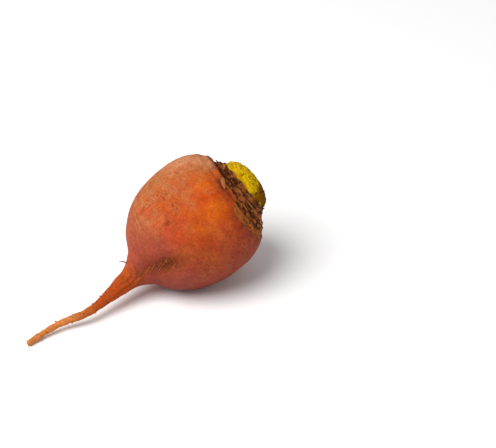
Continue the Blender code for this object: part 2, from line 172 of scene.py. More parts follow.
def traceLine(line):
    knots = [np.array(p) for p in line["points"]]
    knots = [2 * knots[0] - knots[1]] + knots + [2 * knots[-1] - knots[-2]]
    traced = []
    for i in range(len(knots) - 3):
        a, b, c, d = knots[i:i + 4]
        for k in range(line["perSpan"]):
            t = k / line["perSpan"]
            traced.append(0.5 * (2 * b + (c - a) * t + (2 * a - 5 * b + 4 * c - d) * t ** 2
                                 + (3 * b - a - 3 * c + d) * t ** 3))
    traced = np.array(traced + [knots[-2]])
    steps = np.linalg.norm(np.diff(traced, axis=0), axis=1)
    along = -np.concatenate([[0.0], np.cumsum(steps)])
    along -= along[line["globeAt"] * line["perSpan"]]
    return along[::-1], traced[::-1]


lineAlong, linePlaces = traceLine(rootLine)


def linePoint(u):
    # place in millimetres at u, the millimetres from the globe's centre, + towards the crown
    u = np.atleast_1d(u)
    return np.stack([np.interp(u, lineAlong, linePlaces[:, k]) for k in range(3)], 1)


def lineAxes(u):
    # tangent towards the crown, sideways, and the upper side
    ahead = rootLine["lookAhead"]
    tangent = linePoint(np.atleast_1d(u) + ahead) - linePoint(np.atleast_1d(u) - ahead)
    tangent /= np.linalg.norm(tangent, axis=1)[:, None]
    side = np.array([0.0, 1.0, 0.0]) - tangent * tangent[:, 1:2]
    side /= np.linalg.norm(side, axis=1)[:, None]
    return tangent, side, np.cross(tangent, side)


def axesMatrix(u):
    tangent, side, top = (Vector(a[0]) for a in lineAxes(u))
    return Matrix((side, top, tangent)).transposed()


# Root: globe and taproot in one skin

rootShape = {
    "globeRadius": 30.5, "crownReach": 30.8, "crownPower": 3.1, "tailReach": 33.4, "tailPower": 2.4,
    "taproot": [(20, 13), (31, 11.3), (34.4, 9.7), (37.3, 7.2), (41, 5.4), (45, 4.55), (50, 3.95),
                (56, 3.0), (64.5, 2.1), (75, 1.85), (87, 1.55), (101, 1.42)],
    "blendPower": 3.4,
    "sides": 72,
    "crownRings": [(25.9, 3.0), (26.0, 12.0), (26.2, 14.2), (27.0, 15.0), (27.35, 15.8), (27.2, 16.7),
                   (26.85, 17.6), (26.4, 18.5), (25.9, 19.4), (25.35, 20.4)],
    # the side where the skin reaches up to the stalks, and how far it is lifted there
    "cleanTurn": 48.0,
    "cleanLift": [(12.4, 0.3), (13.0, 2.1), (13.6, 2.6), (14.2, 2.2), (15.0, 0.95), (15.8, 0.25),
                  (16.7, -0.2), (17.6, 0.1), (18.5, 0.4), (19.4, 0.2), (20.4, -0.1), (21.6, 0.0)],
    "rimAt": 24.6, "rimRadius": 21.6,      # past this the skin turns in over the crown
    "runs": [(24.6, 16.6, 1.6), (14.7, -25.0, 2.4), (-27.0, -40.0, 1.6), (-42.0, -102.0, 2.0)],
    "tipRings": [(-102.5, 1.25), (-102.7, 0.8)],
    "levels": 2,
}

rootRelief = {
    "lumpSize": 17.0, "lumpHeight": 0.75, "dentSize": 7.0, "dentHeight": 0.22,
    "rippleSize": 2.6, "rippleHeight": 0.07,
    "grooveTurns": (155.0, -25.0), "grooveDrift": 0.3, "grooveDepth": 2.4, "grooveCentre": -27.0,
    "grooveReach": 10.0, "grooveWidth": 4.8, "stepPitch": 1.5, "stepHeight": 0.22,
    "scarFrom": 18.0, "scarPitch": 3.4, "scarHeight": 0.28, "crustSize": 1.6, "crustHeight": 0.32,
    "knucklePitch": 7.0, "knuckleHeight": 0.09, "wrinklePitch": 1.9, "wrinkleHeight": 0.04,
    "ridgePitch": 2.3, "ridgeHeight": 0.36, "ridgeFrom": 20.5,
    "foldCount": 9, "foldHeight": 0.2, "foldCentre": -44.0, "foldReach": 9.0,
    "pitSeed": 21, "pitCount": 9, "pitRadius": 1.0, "pitDepth": 0.55,
    "swells": [(1.5, 51.0, 10.0, 1.1), (-20.0, 208.0, 12.0, -1.7)],      # u, turn, size and height
}

shownPit = (-13.0, 120.0)        # the pit that faces the camera: u and the angle round the line


def taprootRadius(distance):
    knots = np.array(rootShape["taproot"], dtype=float)
    d = np.clip(distance, knots[0, 0], knots[-1, 0])
    i = np.clip(np.searchsorted(knots[:, 0], d, side="right") - 1, 0, len(knots) - 2)
    share = (d - knots[i, 0]) / (knots[i + 1, 0] - knots[i, 0])
    return knots[i, 1] + (knots[i + 1, 1] - knots[i, 1]) * (0.75 * share + 0.25 * ease(share))


def rootRadius(u):
    shape = rootShape
    u = np.atleast_1d(np.asarray(u, dtype=float))
    reach = np.where(u > 0, shape["crownReach"], shape["tailReach"])
    power = np.where(u > 0, shape["crownPower"], shape["tailPower"])
    globe = shape["globeRadius"] * np.sqrt(np.clip(1.0 - (np.abs(u) / reach) ** power, 0.0, None))
    tail = taprootRadius(-u) * ease((-u - 18.0) / 12.0)
    k = shape["blendPower"]
    return np.where(u > -18.0, globe, (globe ** k + tail ** k) ** (1.0 / k))


def turnGap(a, b):
    return (a - b + math.pi) % (math.tau) - math.pi


def grooveMask(u, turn, radius):
    # 1 along the bottoms of the two root grooves, fading to 0
    r = rootRelief
    window = np.exp(-((u - r["grooveCentre"]) / r["grooveReach"]) ** 2)
    mask = np.zeros_like(u)
    for start in r["grooveTurns"]:
        middle = np.radians(start + r["grooveDrift"] * (u - r["grooveCentre"]))
        mask += np.exp(-(turnGap(turn, middle) * radius / r["grooveWidth"]) ** 2)
    return mask * window


def pitPlaces():
    draw = random.Random(rootRelief["pitSeed"]).uniform
    pits = [(*shownPit, 1.0)]
    for _ in range(rootRelief["pitCount"]):
        pits.append((draw(-22, 16), draw(190, 430), draw(0.5, 1.0)))
    return pits


def skinHeight(u, turn, radius, plain):
    # relief in millimetres over the plain radius; plain is the place on it, in metres
    r = rootRelief

    def wave(kind, shift):
        return r[kind + "Height"] * np.sin(math.tau * u / r[kind + "Pitch"] + shift)

    fade = ease(radius / 8.0)
    height = sum(r[kind + "Height"] * fade * cloud(plain, r[kind + "Size"], seed)
                 for kind, seed in (("lump", (0, 0, 0)), ("dent", (7, 3, 1)), ("ripple", (2, 9, 4))))
    groove = grooveMask(u, turn, radius)
    height -= groove * np.minimum(r["grooveDepth"], 0.25 * radius)
    height += groove * wave("step", 1.2 * cloud(plain, 4, (5, 5, 5)))
    height += ease((u - r["scarFrom"]) / 4.0) * wave("scar", 1.4 * cloud(plain, 9))
    height += r["crustHeight"] * ease((u - 21.0) / 4.5) * cloud(plain, r["crustSize"], (1, 2, 8))
    wander = cloud(plain, 6)
    height += ease((-u - 44.0) / 4.0) * (wave("knuckle", 2.0 * wander)
                                         + wave("wrinkle", 5.0 * wander + turn))
    folds = np.exp(-((u - r["foldCentre"]) / r["foldReach"]) ** 2)
    height += r["foldHeight"] * folds * np.sin(r["foldCount"] * turn + 3.0 * wander + 0.08 * u)
    for along, swellTurn, size, rise in r["swells"]:
        height += rise * gaussAt(u, turn, radius, along, swellTurn, size)
    for along, pitTurn, size in pitPlaces():
        wide, deep = (gaussAt(u, turn, radius, along, pitTurn, k * r["pitRadius"] * size)
                      for k in (2.0, 1.0))
        height += r["pitDepth"] * size * (0.25 * wide - 1.25 * deep)
    return height


def skinPlace(u, turn):
    # places in metres on the finished skin, and the outward directions there
    u, turn = np.atleast_1d(np.asarray(u, dtype=float)), np.atleast_1d(np.asarray(turn, dtype=float))
    tangent, side, top = lineAxes(u)
    outward = np.cos(turn)[:, None] * side + np.sin(turn)[:, None] * top
    radius = rootRadius(u)
    centre = linePoint(u)
    plain = (centre + outward * radius[:, None]) * mm
    height = skinHeight(u, turn, radius, plain)
    return (centre + outward * (radius + height)[:, None]) * mm, outward


def cleanSide(turn):
    return ease(np.cos(turn - math.radians(rootShape["cleanTurn"])) * 1.6 - 0.6)


def rootStations():
    stations = list(rootShape["crownRings"])
    for start, end, step in rootShape["runs"]:
        count = round((start - end) / step)
        for i in range(count + 1):
            u = start + (end - start) * i / count
            stations.append((u, float(rootRadius(u)[0])))
    return stations + rootShape["tipRings"]


def closeMesh():
    # in edit mode: turns every face outwards, and leaves
    bpy.ops.mesh.select_all(action="SELECT")
    bpy.ops.mesh.normals_make_consistent(inside=False)
    setMode("OBJECT")


def loftCircles(name, rings, sides):
    # each ring is a place, a turning matrix and a radius; the ends are filled
    deselectAll()
    piece = None
    for place, turning, radius in rings:
        bpy.ops.mesh.primitive_circle_add(vertices=sides, radius=radius, location=place,
                                          rotation=turning.to_euler())
        if not piece:
            piece = bpy.context.object
            bpy.ops.object.transform_apply(location=True, rotation=True, scale=True)
            setMode("EDIT")
    bpy.ops.mesh.select_all(action="SELECT")
    bpy.ops.mesh.bridge_edge_loops()
    for start in (0, (len(rings) - 1) * sides):
        bpy.ops.mesh.select_mode(type="VERT")
        bpy.ops.mesh.select_all(action="DESELECT")
        setMode("OBJECT")
        for vert in piece.data.vertices[start:start + sides]:
            vert.select = True
        setMode("EDIT")
        bpy.ops.mesh.edge_face_add()
    closeMesh()
    piece.name = name
    return piece


# Where the skin's colour changes: masks for the material, written by rule on the mesh

skinMarks = {
    "tanTurn": 64.0, "tanReach": 61.0,                 # painted shade on the underside, in degrees round the line
    "duskTurn": 222.0, "duskReach": 84.0,              # the shaded underside
    "corkEdge": [(0, 28.0), (48, 28.4), (88, 28.0), (96, 27.4), (108, 26.2), (116, 23.8), (126, 22.4),
                 (134, 23.8), (142, 22.8), (148, 20.6), (156, 19.2), (180, 19.5), (220, 20.5),
                 (270, 22.0), (320, 25.0), (360, 29.0)],
    "corkRag": 1.2, "stainReach": 4.5,
    "blushFrom": -6.0, "blushTo": -29.0,
    "golds": [(16, 111, 5.5, 1.0), (12.5, 138, 5.5, 1.0), (2, 128, 5, 0.4), (-4, 142, 6, 0.4)],
    "reds": [(12.5, 124, 3.4, 1.0), (8, 121, 3.6, 0.9), (21, 111, 2.8, 1.0), (19.5, 128, 3.6, 1.0),
             (15, 148, 3, 0.6), (-6, 96, 5, 0.7), (-13, 92, 5, 0.8), (-21, 77, 5, 0.6), (-9, 112, 4, 0.7),
             (-14, 134, 5, 0.8)],
    "dusts": [(15, 105, 4, 0.4), (4.5, 120, 4, 0.7), (-7, 110, 3.5, 0.6), (-7, 135, 3.5, 0.6)],
    "scores": [(-6, 93, 3.5, 1.0), (-4, 101, 3.5, 1.0), (-4, 112, 3.5, 0.9), (-9, 114, 3.0, 0.8),
               (5, 100, 3.0, 0.5)],
    # painted light: paler patches on the top of the globe, where the light falls
    "paintedToplights": [(19, 71, 6.5, 1.0), (12, 64, 5.5, 0.9), (23.5, 78, 4.5, 0.7), (4, 56, 5, 0.5),
               (15, 30, 6, 0.7)],
    # patches of painted shade on the neck side and below, added into the same painted shade mask
    "shades": [(-29, 104, 6, 0.35), (-24, 132, 6, 0.6), (-37, 128, 5, 0.6), (6, 97, 5, 0.25)],
    "seed": 4, "farSpots": 13,                         # more patches on the sides turned away
}


def allMarks():
    m = skinMarks
    draw = random.Random(m["seed"]).uniform
    marks = {kind: list(m[kind]) for kind in ("golds", "reds", "dusts", "scores")}
    for kind in marks:
        for _ in range(m["farSpots"]):
            marks[kind].append((draw(-20, 20), draw(175, 400), draw(3, 6.5),
                                draw(0.5, 1.0)))
    return marks


def gaussAt(u, turn, radius, markAlong, markTurn, size):
    across = turnGap(turn, math.radians(markTurn)) * radius
    return np.exp(-((u - markAlong) ** 2 + across ** 2) / size ** 2)


def corkEdge(turn):
    # how far along, crownwards, the brown crown begins, at each angle round the line
    degrees, along = np.array(skinMarks["corkEdge"]).T
    return np.interp(np.degrees(turn) % 360.0, degrees, along)


def crownRelief(edge, turn, plain):
    # ridges of old leaf scars, parallel to the rim, with crust between them, and the ridges' hollows, where
    # the bark gets painted shade
    r = rootRelief
    share = ease((edge - r["ridgeFrom"]) / 3.0)
    share *= 0.35 + 0.65 * ease((edge - corkEdge(turn) + 2.5) / 3.0)
    wander = cloud(plain, 7, (9, 1, 1))
    ridge = np.sin(math.tau * edge / r["ridgePitch"] + 3.0 * wander)
    strength = np.clip(0.6 + 1.0 * cloud(plain, 3.5, (1, 9, 1)), 0.1, 1.4)
    height = share * (r["ridgeHeight"] * ridge * strength + 0.16 * cloud(plain, 0.9, (4, 7, 1)))
    return height, share * clip01(0.5 - 0.75 * ridge * strength)


def paintSkin(mesh, u, turn, radius, plain, edge, crease):
    m = skinMarks
    rag = cloud(plain, 5, (3, 1, 6)) + 0.5 * cloud(plain, 1.8, (8, 2, 2))

    def apart(side):
        return np.abs(np.degrees(turnGap(turn, math.radians(m[side + "Turn"])))) / m[side + "Reach"]

    def spots(places, grow=1.0):
        return sum(share * gaussAt(u, turn, radius, a, b, grow * size) for a, b, size, share in places)

    def ragged(places):
        return clip01(spots(places) * (1.0 + 0.8 * rag))

    marks = {kind: ragged(places) for kind, places in allMarks().items()}
    tan = ease(1.1 - apart("tan") + 0.45 * rag) * ease((u + 34.0 + 6.0 * rag) / 20.0)
    fromCork = edge - corkEdge(turn) + m["corkRag"] * rag
    blush = ease((m["blushFrom"] - u + 4.0 * rag) / (m["blushFrom"] - m["blushTo"])) * ease((u + 43.0) / 9.0)
    writeMasks(
        mesh, crease=crease, blush=blush, gold=marks["golds"], flush=marks["reds"], scored=marks["scores"],
        tan=clip01(np.maximum(tan, 0.7 * marks["dusts"])),
        bloom=ragged(m["paintedToplights"]),
        cork=ease((fromCork + 0.8) / 1.6),
        stain=ease((fromCork + m["stainReach"] + 1.5 * rag) / m["stainReach"]),
        # painted shade: the underside and the shade patches
        dusk=np.maximum(ease(1.0 - apart("dusk")), spots(m["shades"])),
        # hollow carries painted shade into the root grooves
        hollow=clip01(grooveMask(u, turn, radius)),
        pitted=clip01(spots([(*pit, 1.0) for pit in pitPlaces()], 1.1)),
        taproot=ease((-u - 36.0) / 12.0), tailEnd=ease((-u - 62.0) / 22.0))
    writeFibres(mesh, edge, np.cos(turn) * radius, np.sin(turn) * radius, name="straight")


def makeRoot(material):
    stations = rootStations()
    rings = [(Vector(linePoint(u)[0]) * mm, axesMatrix(u), r * mm) for u, r in stations]
    piece = loftCircles("beetRoot", rings, rootShape["sides"])
    writeMasks(piece.data, along=np.repeat([u for u, r in stations], rootShape["sides"]))
    smoothOut(piece, rootShape["levels"])
    mesh = piece.data
    u = readMask(mesh, "along")
    places = readPlaces(mesh)
    normals = np.array([v.normal for v in mesh.vertices])
    tangent, side, top = lineAxes(u)
    centre = linePoint(u)
    away = places / mm - centre
    away -= tangent * (away * tangent).sum(1)[:, None]
    reach = np.linalg.norm(away, axis=1)
    turn = np.arctan2((away * top).sum(1), (away * side).sum(1))
    outward = np.cos(turn)[:, None] * side + np.sin(turn)[:, None] * top
    pastRim = u > rootShape["rimAt"]
    radius = np.where(pastRim, reach, np.maximum(rootRadius(u), 1.0))
    edge = np.where(pastRim, rootShape["rimAt"] + np.maximum(rootShape["rimRadius"] - reach, 0.0), u)
    plain = (centre + outward * radius[:, None]) * mm
    ridges, crease = crownRelief(edge, turn, plain)
    ridges *= 1.0 - 0.6 * cleanSide(turn)
    inside = ease((reach - 12.0) / 3.0) * pastRim + ease((u + 102.4) / 0.8) * ~pastRim
    height = (skinHeight(u, turn, radius, plain) + ridges) * inside
    height += cleanSide(turn) * (np.maximum(height, -0.2) - height) * (u > 23.5)
    lean = ease((u - 20.0) / 4.0)[:, None]       # over the crown the relief stands off the turned-in skin
    places += (outward * (1.0 - lean) + normals * lean) * (height * mm)[:, None]
    liftAt, lift = np.array(rootShape["cleanLift"]).T
    lift = np.interp(reach, liftAt, lift) * ease((reach - 12.0) / 0.8) * cleanSide(turn) * pastRim
    places += np.outer(lift * mm, crownArray[:3, 2])
    places[:, 2] = np.maximum(places[:, 2], 0.0)       # the flat that it rests on
    writePlaces(mesh, places)
    paintSkin(mesh, u, turn, radius, plain, edge, crease)
    return finishPiece(piece, "beetRoot", material, "root")


# Crown: its own axes, with heights in millimetres from the globe's centre

seatHeight = 25.1


def crownFrame():
    turning = axesMatrix(seatHeight)
    origin = Vector(linePoint(seatHeight)[0]) * mm - turning.col[2] * seatHeight * mm
    return Matrix.Translation(origin) @ turning.to_4x4()


crownMatrix = crownFrame()
crownArray = np.array(crownMatrix)


def toCrown(places):
    # crown places in millimetres to the beet's own metres
    return (np.asarray(places) * mm) @ crownArray[:3, :3].T + crownArray[:3, 3]


def fromCrown(places):
    # the other way, with the angle round the crown and the distance from its axis
    local = (places - crownArray[:3, 3]) @ crownArray[:3, :3] / mm
    return local, np.arctan2(local[:, 1], local[:, 0]), np.hypot(local[:, 0], local[:, 1])


def wayOut(turn):
    return np.array([math.cos(turn), math.sin(turn), 0.0])


def turnOnCrown(name, outline, sides, levels):
    # a body turned round the crown's axis; the outline holds heights and radii
    rings = [(crownMatrix @ Vector((0, 0, h * mm)), crownMatrix.to_3x3(), r * mm) for h, r in outline]
    piece = loftCircles(name, rings, sides)
    smoothOut(piece, levels)
    return piece


# Collar: a corky ring with scar ridges, tiers of old leaf bases on it, and dried shreds

collarRing = {
    "outline": [(25.9, 17.3), (26.7, 17.5), (27.3, 17.0), (27.5, 16.4), (28.0, 16.2), (28.6, 15.7),
                (28.5, 15.1), (29.1, 14.8), (29.7, 14.3), (29.6, 13.8), (28.8, 13.5), (27.4, 12.5),
                (27.2, 5.0)],
    "sides": 96, "levels": 2,
    "lobes": 13, "lobeDepth": 0.35, "lumpSize": 3.2, "lumpHeight": 0.5,
    "crustSize": 1.0, "crustHeight": 0.18,
    # the turn, in degrees, where the painted shade on the ring is darkest
    "bandPitch": 0.95, "bandHeight": 0.16, "squeeze": 2.2, "shadeTurn": 104.0,
}


def makeCollarRing():
    c = collarRing
    piece = turnOnCrown("collarRing", reversed(c["outline"]), c["sides"], c["levels"])
    mesh = piece.data
    places = readPlaces(mesh)
    local, turn, radius = fromCrown(places)
    z = local[:, 2]
    wander = cloud(places, 5, (4, 4, 1))
    height = c["lumpHeight"] * cloud(places, c["lumpSize"], (6, 0, 3))
    height += c["crustHeight"] * cloud(places, c["crustSize"], (0, 5, 3))
    height -= c["lobeDepth"] * np.abs(np.cos(0.5 * c["lobes"] * turn + 1.5 * wander + z)) ** 6
    height += c["bandHeight"] * np.sin(math.tau * z / c["bandPitch"] + 4.0 * wander)
    swellOut(mesh, places, height * ease((radius - 13.4) / 0.8))
    writeFibres(mesh, turn * radius * 0.3, z * 1.5, radius)
    # crease paints shade where the ring's surface lies low
    writeMasks(mesh, tint=0.3 + 0.3 * cloud(places, 4, (2, 2, 2)), crease=clip01(0.45 - 1.3 * height))
    return piece


def swellOut(mesh, places, height):
    # moves the places along the mesh's normals, by millimetres
    places += np.array([v.normal for v in mesh.vertices]) * (height * mm)[:, None]
    writePlaces(mesh, places)


leafBases = {
    "seed": 11, "grid": 9, "thickness": 0.4,
    # height, radius, count and length of each tier of scales
    "tiers": [(26.2, 16.0, 13, 3.1), (27.3, 15.3, 12, 2.9), (28.3, 14.8, 11, 2.7)],
    "lowTiers": [(24.95, 20.9, 9, 1.6), (25.75, 19.9, 11, 1.7), (26.45, 18.6, 12, 1.9),
                 (27.0, 17.4, 12, 2.0)],
    "shreds": 5, "scrap": (113.0, 24.4, 22.2, 127.5, 22.1, 24.8),  # degrees, height and radius of its ends
}

ringStrands = {
    "seed": 31, "kinds": [("dark", 44, 0.30, 0.05), ("brown", 70, 0.26, 0.45), ("tan", 44, 0.18, 1.0)],
    "bed": [(25.3, 19.9), (26.0, 19.2), (26.8, 18.0), (27.4, 17.1), (28.0, 16.7), (28.7, 16.2),
            (29.3, 15.3), (29.9, 14.6)],
}


def curlBlade(mother, start, way, across, outward, length, halfWidth, curl, ragged, seed, tint):
    # a copy of the flat grid, bent into a scale, in crown millimetres
    piece = copyOf(mother, "copy")
    grid = readPlaces(piece.data)
    c, s = grid[:, 0] * 2.0, grid[:, 1] + 0.5
    phase = random.Random(seed).uniform(0, 60)
    tip = noiseAt(phase, c * 2.3, 0) + 0.6 * noiseAt(phase, c * 7.0, 4)
    reach = length * (1.0 + ragged * tip)
    width = halfWidth * (1.0 - 0.7 * s ** 2.2)
    bend = noiseAt(c * 1.3 + phase, s * 1.7, 2)
    lift = curl * s ** 2 * length - 0.14 * halfWidth * c ** 2 + 0.35 * bend * s
    place = start + np.outer(s * reach, way) + np.outer(c * width, across) + np.outer(lift, outward)
    writePlaces(piece.data, toCrown(place))
    writeFibres(piece.data, c * halfWidth + phase, s * length * 0.25, phase)
    # crease paints shade at the scale's foot
    writeMasks(piece.data, tint=tint + 0.25 * s, crease=0.5 * (1.0 - s))
    return piece


def makeLeafBases():
    b = leafBases
    draw, extra = (random.Random(b["seed"] + k).uniform for k in (0, 1))
    up = np.array([0.0, 0.0, 1.0])
    deselectAll()
    bpy.ops.mesh.primitive_grid_add(x_subdivisions=b["grid"], y_subdivisions=b["grid"], size=1)
    mother = bpy.context.object
    made = []
    for tier, (height, radius, count, length) in enumerate(b["tiers"]):
        for i in range(count):
            outward = wayOut(math.tau * (i + 0.5 * tier + draw(-0.18, 0.18)) / count)
            flare, reach = draw(0.0, 0.3), length * draw(0.75, 1.0)
            made.append(curlBlade(mother, outward * (radius - 0.3) + up * height, up + outward * flare,
                                  np.cross(up, outward), outward, reach, draw(3.8, 5.0), 0.0, 0.16,
                                  100 + len(made), 0.05 + 0.22 * (i % 3)))
    for i in range(b["shreds"]):
        outward = wayOut(math.tau * (i + draw(-0.3, 0.3)) / b["shreds"])
        across = np.cross(up, outward)
        way = up * 0.8 + outward * draw(-0.1, 0.15) + across * draw(-0.8, 0.8)
        made.append(curlBlade(mother, outward * 15.4 + up * 27.4, way, across, outward, draw(2.2, 3.0),
                              draw(0.5, 0.8), 0.0, 0.2, 300 + i, 0.75))
    for tier, (height, radius, count, length) in enumerate(b["lowTiers"]):
        for i in range(count):
            a = math.tau * (i + 0.5 * tier + extra(-0.3, 0.3)) / count
            size, halfWidth = extra(0.6, 1.15), extra(2.6, 5.2)
            if radius > 17.0 and math.cos(a - math.radians(rootShape["cleanTurn"])) > 0.3:
                continue                               # the clean, dusty side keeps its skin up to the rim
            outward = wayOut(a)
            face = up * 0.78 + outward * 0.62
            made.append(curlBlade(mother, outward * radius + up * height + face * 0.05,
                                  up * 0.62 - outward * 0.78, np.cross(up, outward), face, length * size,
                                  halfWidth, 0.15, 0.3, 500 + len(made), 0.1 + 0.2 * (i % 3)))
    ends = [wayOut(math.radians(a)) * r + up * z for a, z, r in (b["scrap"][:3], b["scrap"][3:])]
    length = np.linalg.norm(ends[1] - ends[0])
    way = (ends[1] - ends[0]) / length
    face = wayOut(math.radians(120)) + up * 0.9
    face -= way * (face @ way)
    face /= np.linalg.norm(face)
    made.append(curlBlade(mother, ends[0] + face * 0.5, way, np.cross(way, face), face, length,
                          1.25, 0.0, 0.25, 900, 0.55))
    bpy.data.objects.remove(mother)
    piece = joinAll(made, "leafBases")
    applyModifier(piece, "SOLIDIFY", thickness=b["thickness"] * mm, offset=0.0)
    smoothOut(piece, 1)
    places = readPlaces(piece.data)
    swellOut(piece.data, places, 0.08 * cloud(places, 0.9, (3, 3, 3)))
    return piece


def makeRingStrands():
    # dried strands that lie round the ring, dark under light
    s = ringStrands
    draw = random.Random(s["seed"]).uniform
    heights, radii = np.array(s["bed"]).T
    share = np.linspace(0.0, 1.0, 14)
    made = []
    for kind, count, thick, tint in s["kinds"]:
        paths = []
        for _ in range(count):
            turn = draw(0, math.tau) + math.radians(draw(22, 64)) * share
            z = draw(25.6, 29.4) + draw(-0.7, 0.7) * share
            z = np.clip(z + 0.12 * np.sin(share * draw(4, 9)), 25.4, 29.8)
            r = np.interp(z, heights, radii) + draw(-0.2, 0.15) - 0.4 * (2 * share - 1) ** 4
            paths.append(toCrown(np.stack([r * np.cos(turn), r * np.sin(turn), z], 1)))
        piece = growHairs(kind + "Strands", paths, thick, 0.4 * thick)
        places = readPlaces(piece.data)
        local, turn, radius = fromCrown(places)
        writeFibres(piece.data, turn * 3.0, local[:, 2] * 2.0, radius * 2.0)
        # here crease only darkens the dark strands, their own colour
        writeMasks(piece.data, tint=tint + 0.2 * cloud(places, 3, (5, 1, 1)), crease=0.75 - 0.7 * tint)
        made.append(piece)
    return made


def makeCollar(material):
    c = collarRing
    piece = joinAll([makeCollarRing(), makeLeafBases()] + makeRingStrands(), "leafBaseCollar")
    local, turn, radius = fromCrown(readPlaces(piece.data))
    clean = cleanSide(turn)
    drawnIn = c["squeeze"] * clean * ease((radius - 13.4) / 5.0)
    local[:, :2] *= (1.0 - drawnIn / np.maximum(radius, 1.0))[:, None]
    local[:, 2] -= 1.5 * clean * ease((local[:, 2] - 27.5) / 1.5) * ease(radius - 13.4)
    writePlaces(piece.data, toCrown(local))
    # painted shade on the ring: darker at one turn inside 23 mm, and at the top beside the head away from
    # the clean side; lighter on the clean side
    collarShade = ease(np.cos(turn - math.radians(c["shadeTurn"])) * 5.0 - 4.0) * ease(23.0 - radius)
    collarShade = np.maximum(collarShade, 0.8 * ease((local[:, 2] - 29.2) / 0.8) * (1.0 - clean))
    collarShade -= 0.5 * clean * ease(radius - 14.0)
    for name, change in (("crease", 0.4), ("tint", -0.5)):
        writeMasks(piece.data, **{name: clip01(readMask(piece.data, name) + change * collarShade)})
    return finishPiece(piece, "leafBaseCollar", material, "leaf_base_collar")


# Cut leaf stalks: one mother stub, copied and shaped round the crown in a spiral

stalkHead = {
    "seed": 3, "count": 44, "fieldRadius": 12.6, "spread": 0.93, "foot": 29.5, "rim": 13.4,
    "cutTop": 36.9, "cutDrop": 4.4, "cutPower": 2.6, "ripples": (1.0, 0.93, 0.86, 0.62, 0.3),
    "sides": 56, "levels": 8, "ribs": 7, "ribHeight": 0.06, "sink": 0.3, "fray": 0.4,
    "bed": [(29.0, 12.6), (29.3, 13.2), (29.9, 13.4), (30.7, 13.1), (32.6, 11.2), (34.2, 7.4),
            (34.9, 3.0)],
    "lowTurn": 228.0, "lowSpread": 1.4, "tilt": 0.03,      # the side that spreads a little over the collar
}


def makeMotherStub():
    # a unit cylinder with a narrowing cut face: x, y round it and z from foot to cut
    h = stalkHead
    deselectAll()
    bpy.ops.mesh.primitive_circle_add(vertices=h["sides"], radius=1.0)
    stub = bpy.context.object
    setMode("EDIT")
    bpy.ops.mesh.select_all(action="SELECT")
    for _ in range(h["levels"]):
        bpy.ops.mesh.extrude_region_move(TRANSFORM_OT_translate={"value": (0, 0, 1.0 / h["levels"])})
    for last, share in zip(h["ripples"], h["ripples"][1:]):
        bpy.ops.mesh.extrude_region_move(TRANSFORM_OT_translate={"value": (0, 0, 0)})
        bpy.ops.transform.resize(value=(share / last, share / last, 1.0), center_override=(0, 0, 1.0))
    bpy.ops.mesh.edge_face_add()
    closeMesh()
    return stub


def stubSection(turn, halfWidth, thickness):
    # a crescent: ribbed back at turn 0, hollow front at half a turn
    h = stalkHead
    back = np.cos(turn) > 0
    rib = 1.0 + h["ribHeight"] * np.cos(2 * h["ribs"] * turn)
    x = np.where(back, thickness * (1.5 * np.cos(turn) * rib - 0.5),
                 thickness * (-0.1 - 0.4 * np.abs(np.sin(turn))))
    return x, halfWidth * np.sin(turn)


def makeStub(mother, index, draw):
    h = stalkHead
    share = (index + 0.5) / h["count"]
    around = index * math.pi * (3.0 - math.sqrt(5.0))
    outward, across = wayOut(around), wayOut(around + 0.5 * math.pi)
    halfWidth = (1.6 + 1.5 * math.sqrt(share)) * draw(0.9, 1.1)
    thickness = (1.15 + 0.5 * share) * draw(0.9, 1.1)
    lift = draw(-0.25, 0.25)
    piece = copyOf(mother, "stub")
    unit = readPlaces(piece.data)
    turn, inner = np.arctan2(unit[:, 1], unit[:, 0]), np.hypot(unit[:, 0], unit[:, 1])
    x, y = stubSection(turn, halfWidth, thickness)
    middle = 0.35 * thickness
    x, y = middle + (x - middle) * inner, y * inner
    shape = np.outer(x, outward) + np.outer(y, across)
    at = outward * (h["fieldRadius"] * math.sqrt(share) * h["spread"]) + shape
    away = np.hypot(at[:, 0], at[:, 1])
    towardsLow = np.cos(np.arctan2(at[:, 1], at[:, 0]) - math.radians(h["lowTurn"]))
    cut = h["cutTop"] - h["cutDrop"] * np.minimum(away / h["fieldRadius"], 1.0) ** h["cutPower"]
    cut += lift + h["tilt"] * away * towardsLow - h["sink"] * ease((1.0 - inner) / 0.2)
    cut += h["fray"] * noiseAt(at[:, 0] * 1.1, at[:, 1] * 1.1, index * 3.0)
    rise = (cut - h["foot"]) * unit[:, 2]
    lean = np.minimum(0.22 * share * rise, h["rim"] - away)
    lean += h["lowSpread"] * share * clip01(towardsLow) * ease((1.15 - unit[:, 2]) / 0.9)
    at += np.outer(lean, outward)
    at += shape * (0.05 * noiseAt(turn * 1.6, unit[:, 2] * 2.0, index * 5.0))[:, None]
    at[:, 2] = h["foot"] + rise
    writePlaces(piece.data, toCrown(at))
    cutFace = ease((1.0 - inner) / 0.14)
    # painted shade on the side turned away from 55 degrees
    lowSide = ease(0.5 - 0.75 * np.cos(np.arctan2(at[:, 1], at[:, 0]) - math.radians(55.0)))
    writeMasks(piece.data, cutFace=cutFace, rise=unit[:, 2], tint=(index * 0.618) % 1.0, lowSide=lowSide)
    flat = cutFace > 0.5
    writeFibres(piece.data, np.where(flat, x, turn * halfWidth), np.where(flat, y, rise * 0.2), index * 9.0)
    return piece


def makeStalks(material):
    h = stalkHead
    bed = turnOnCrown("stalkBed", h["bed"], 64, 1)
    places = readPlaces(bed.data)
    places += crownArray[:3, 2] * (0.5 * mm * cloud(places, 1.5))[:, None]
    writePlaces(bed.data, places)
    writeFibres(bed.data, *(places / mm).T)
    # the bed's rise gives it some painted shade between the stubs
    writeMasks(bed.data, tint=0.2, cutFace=0.0, rise=0.2, lowSide=0.5)
    mother = makeMotherStub()
    draw = random.Random(h["seed"]).uniform
    stubs = [makeStub(mother, i, draw) for i in range(h["count"])]
    bpy.data.objects.remove(mother)
    piece = joinAll([bed] + stubs, "cutLeafStalks")
    return finishPiece(piece, "cutLeafStalks", material, "leaf_stalk_stubs")


# Side rootlets and root hairs

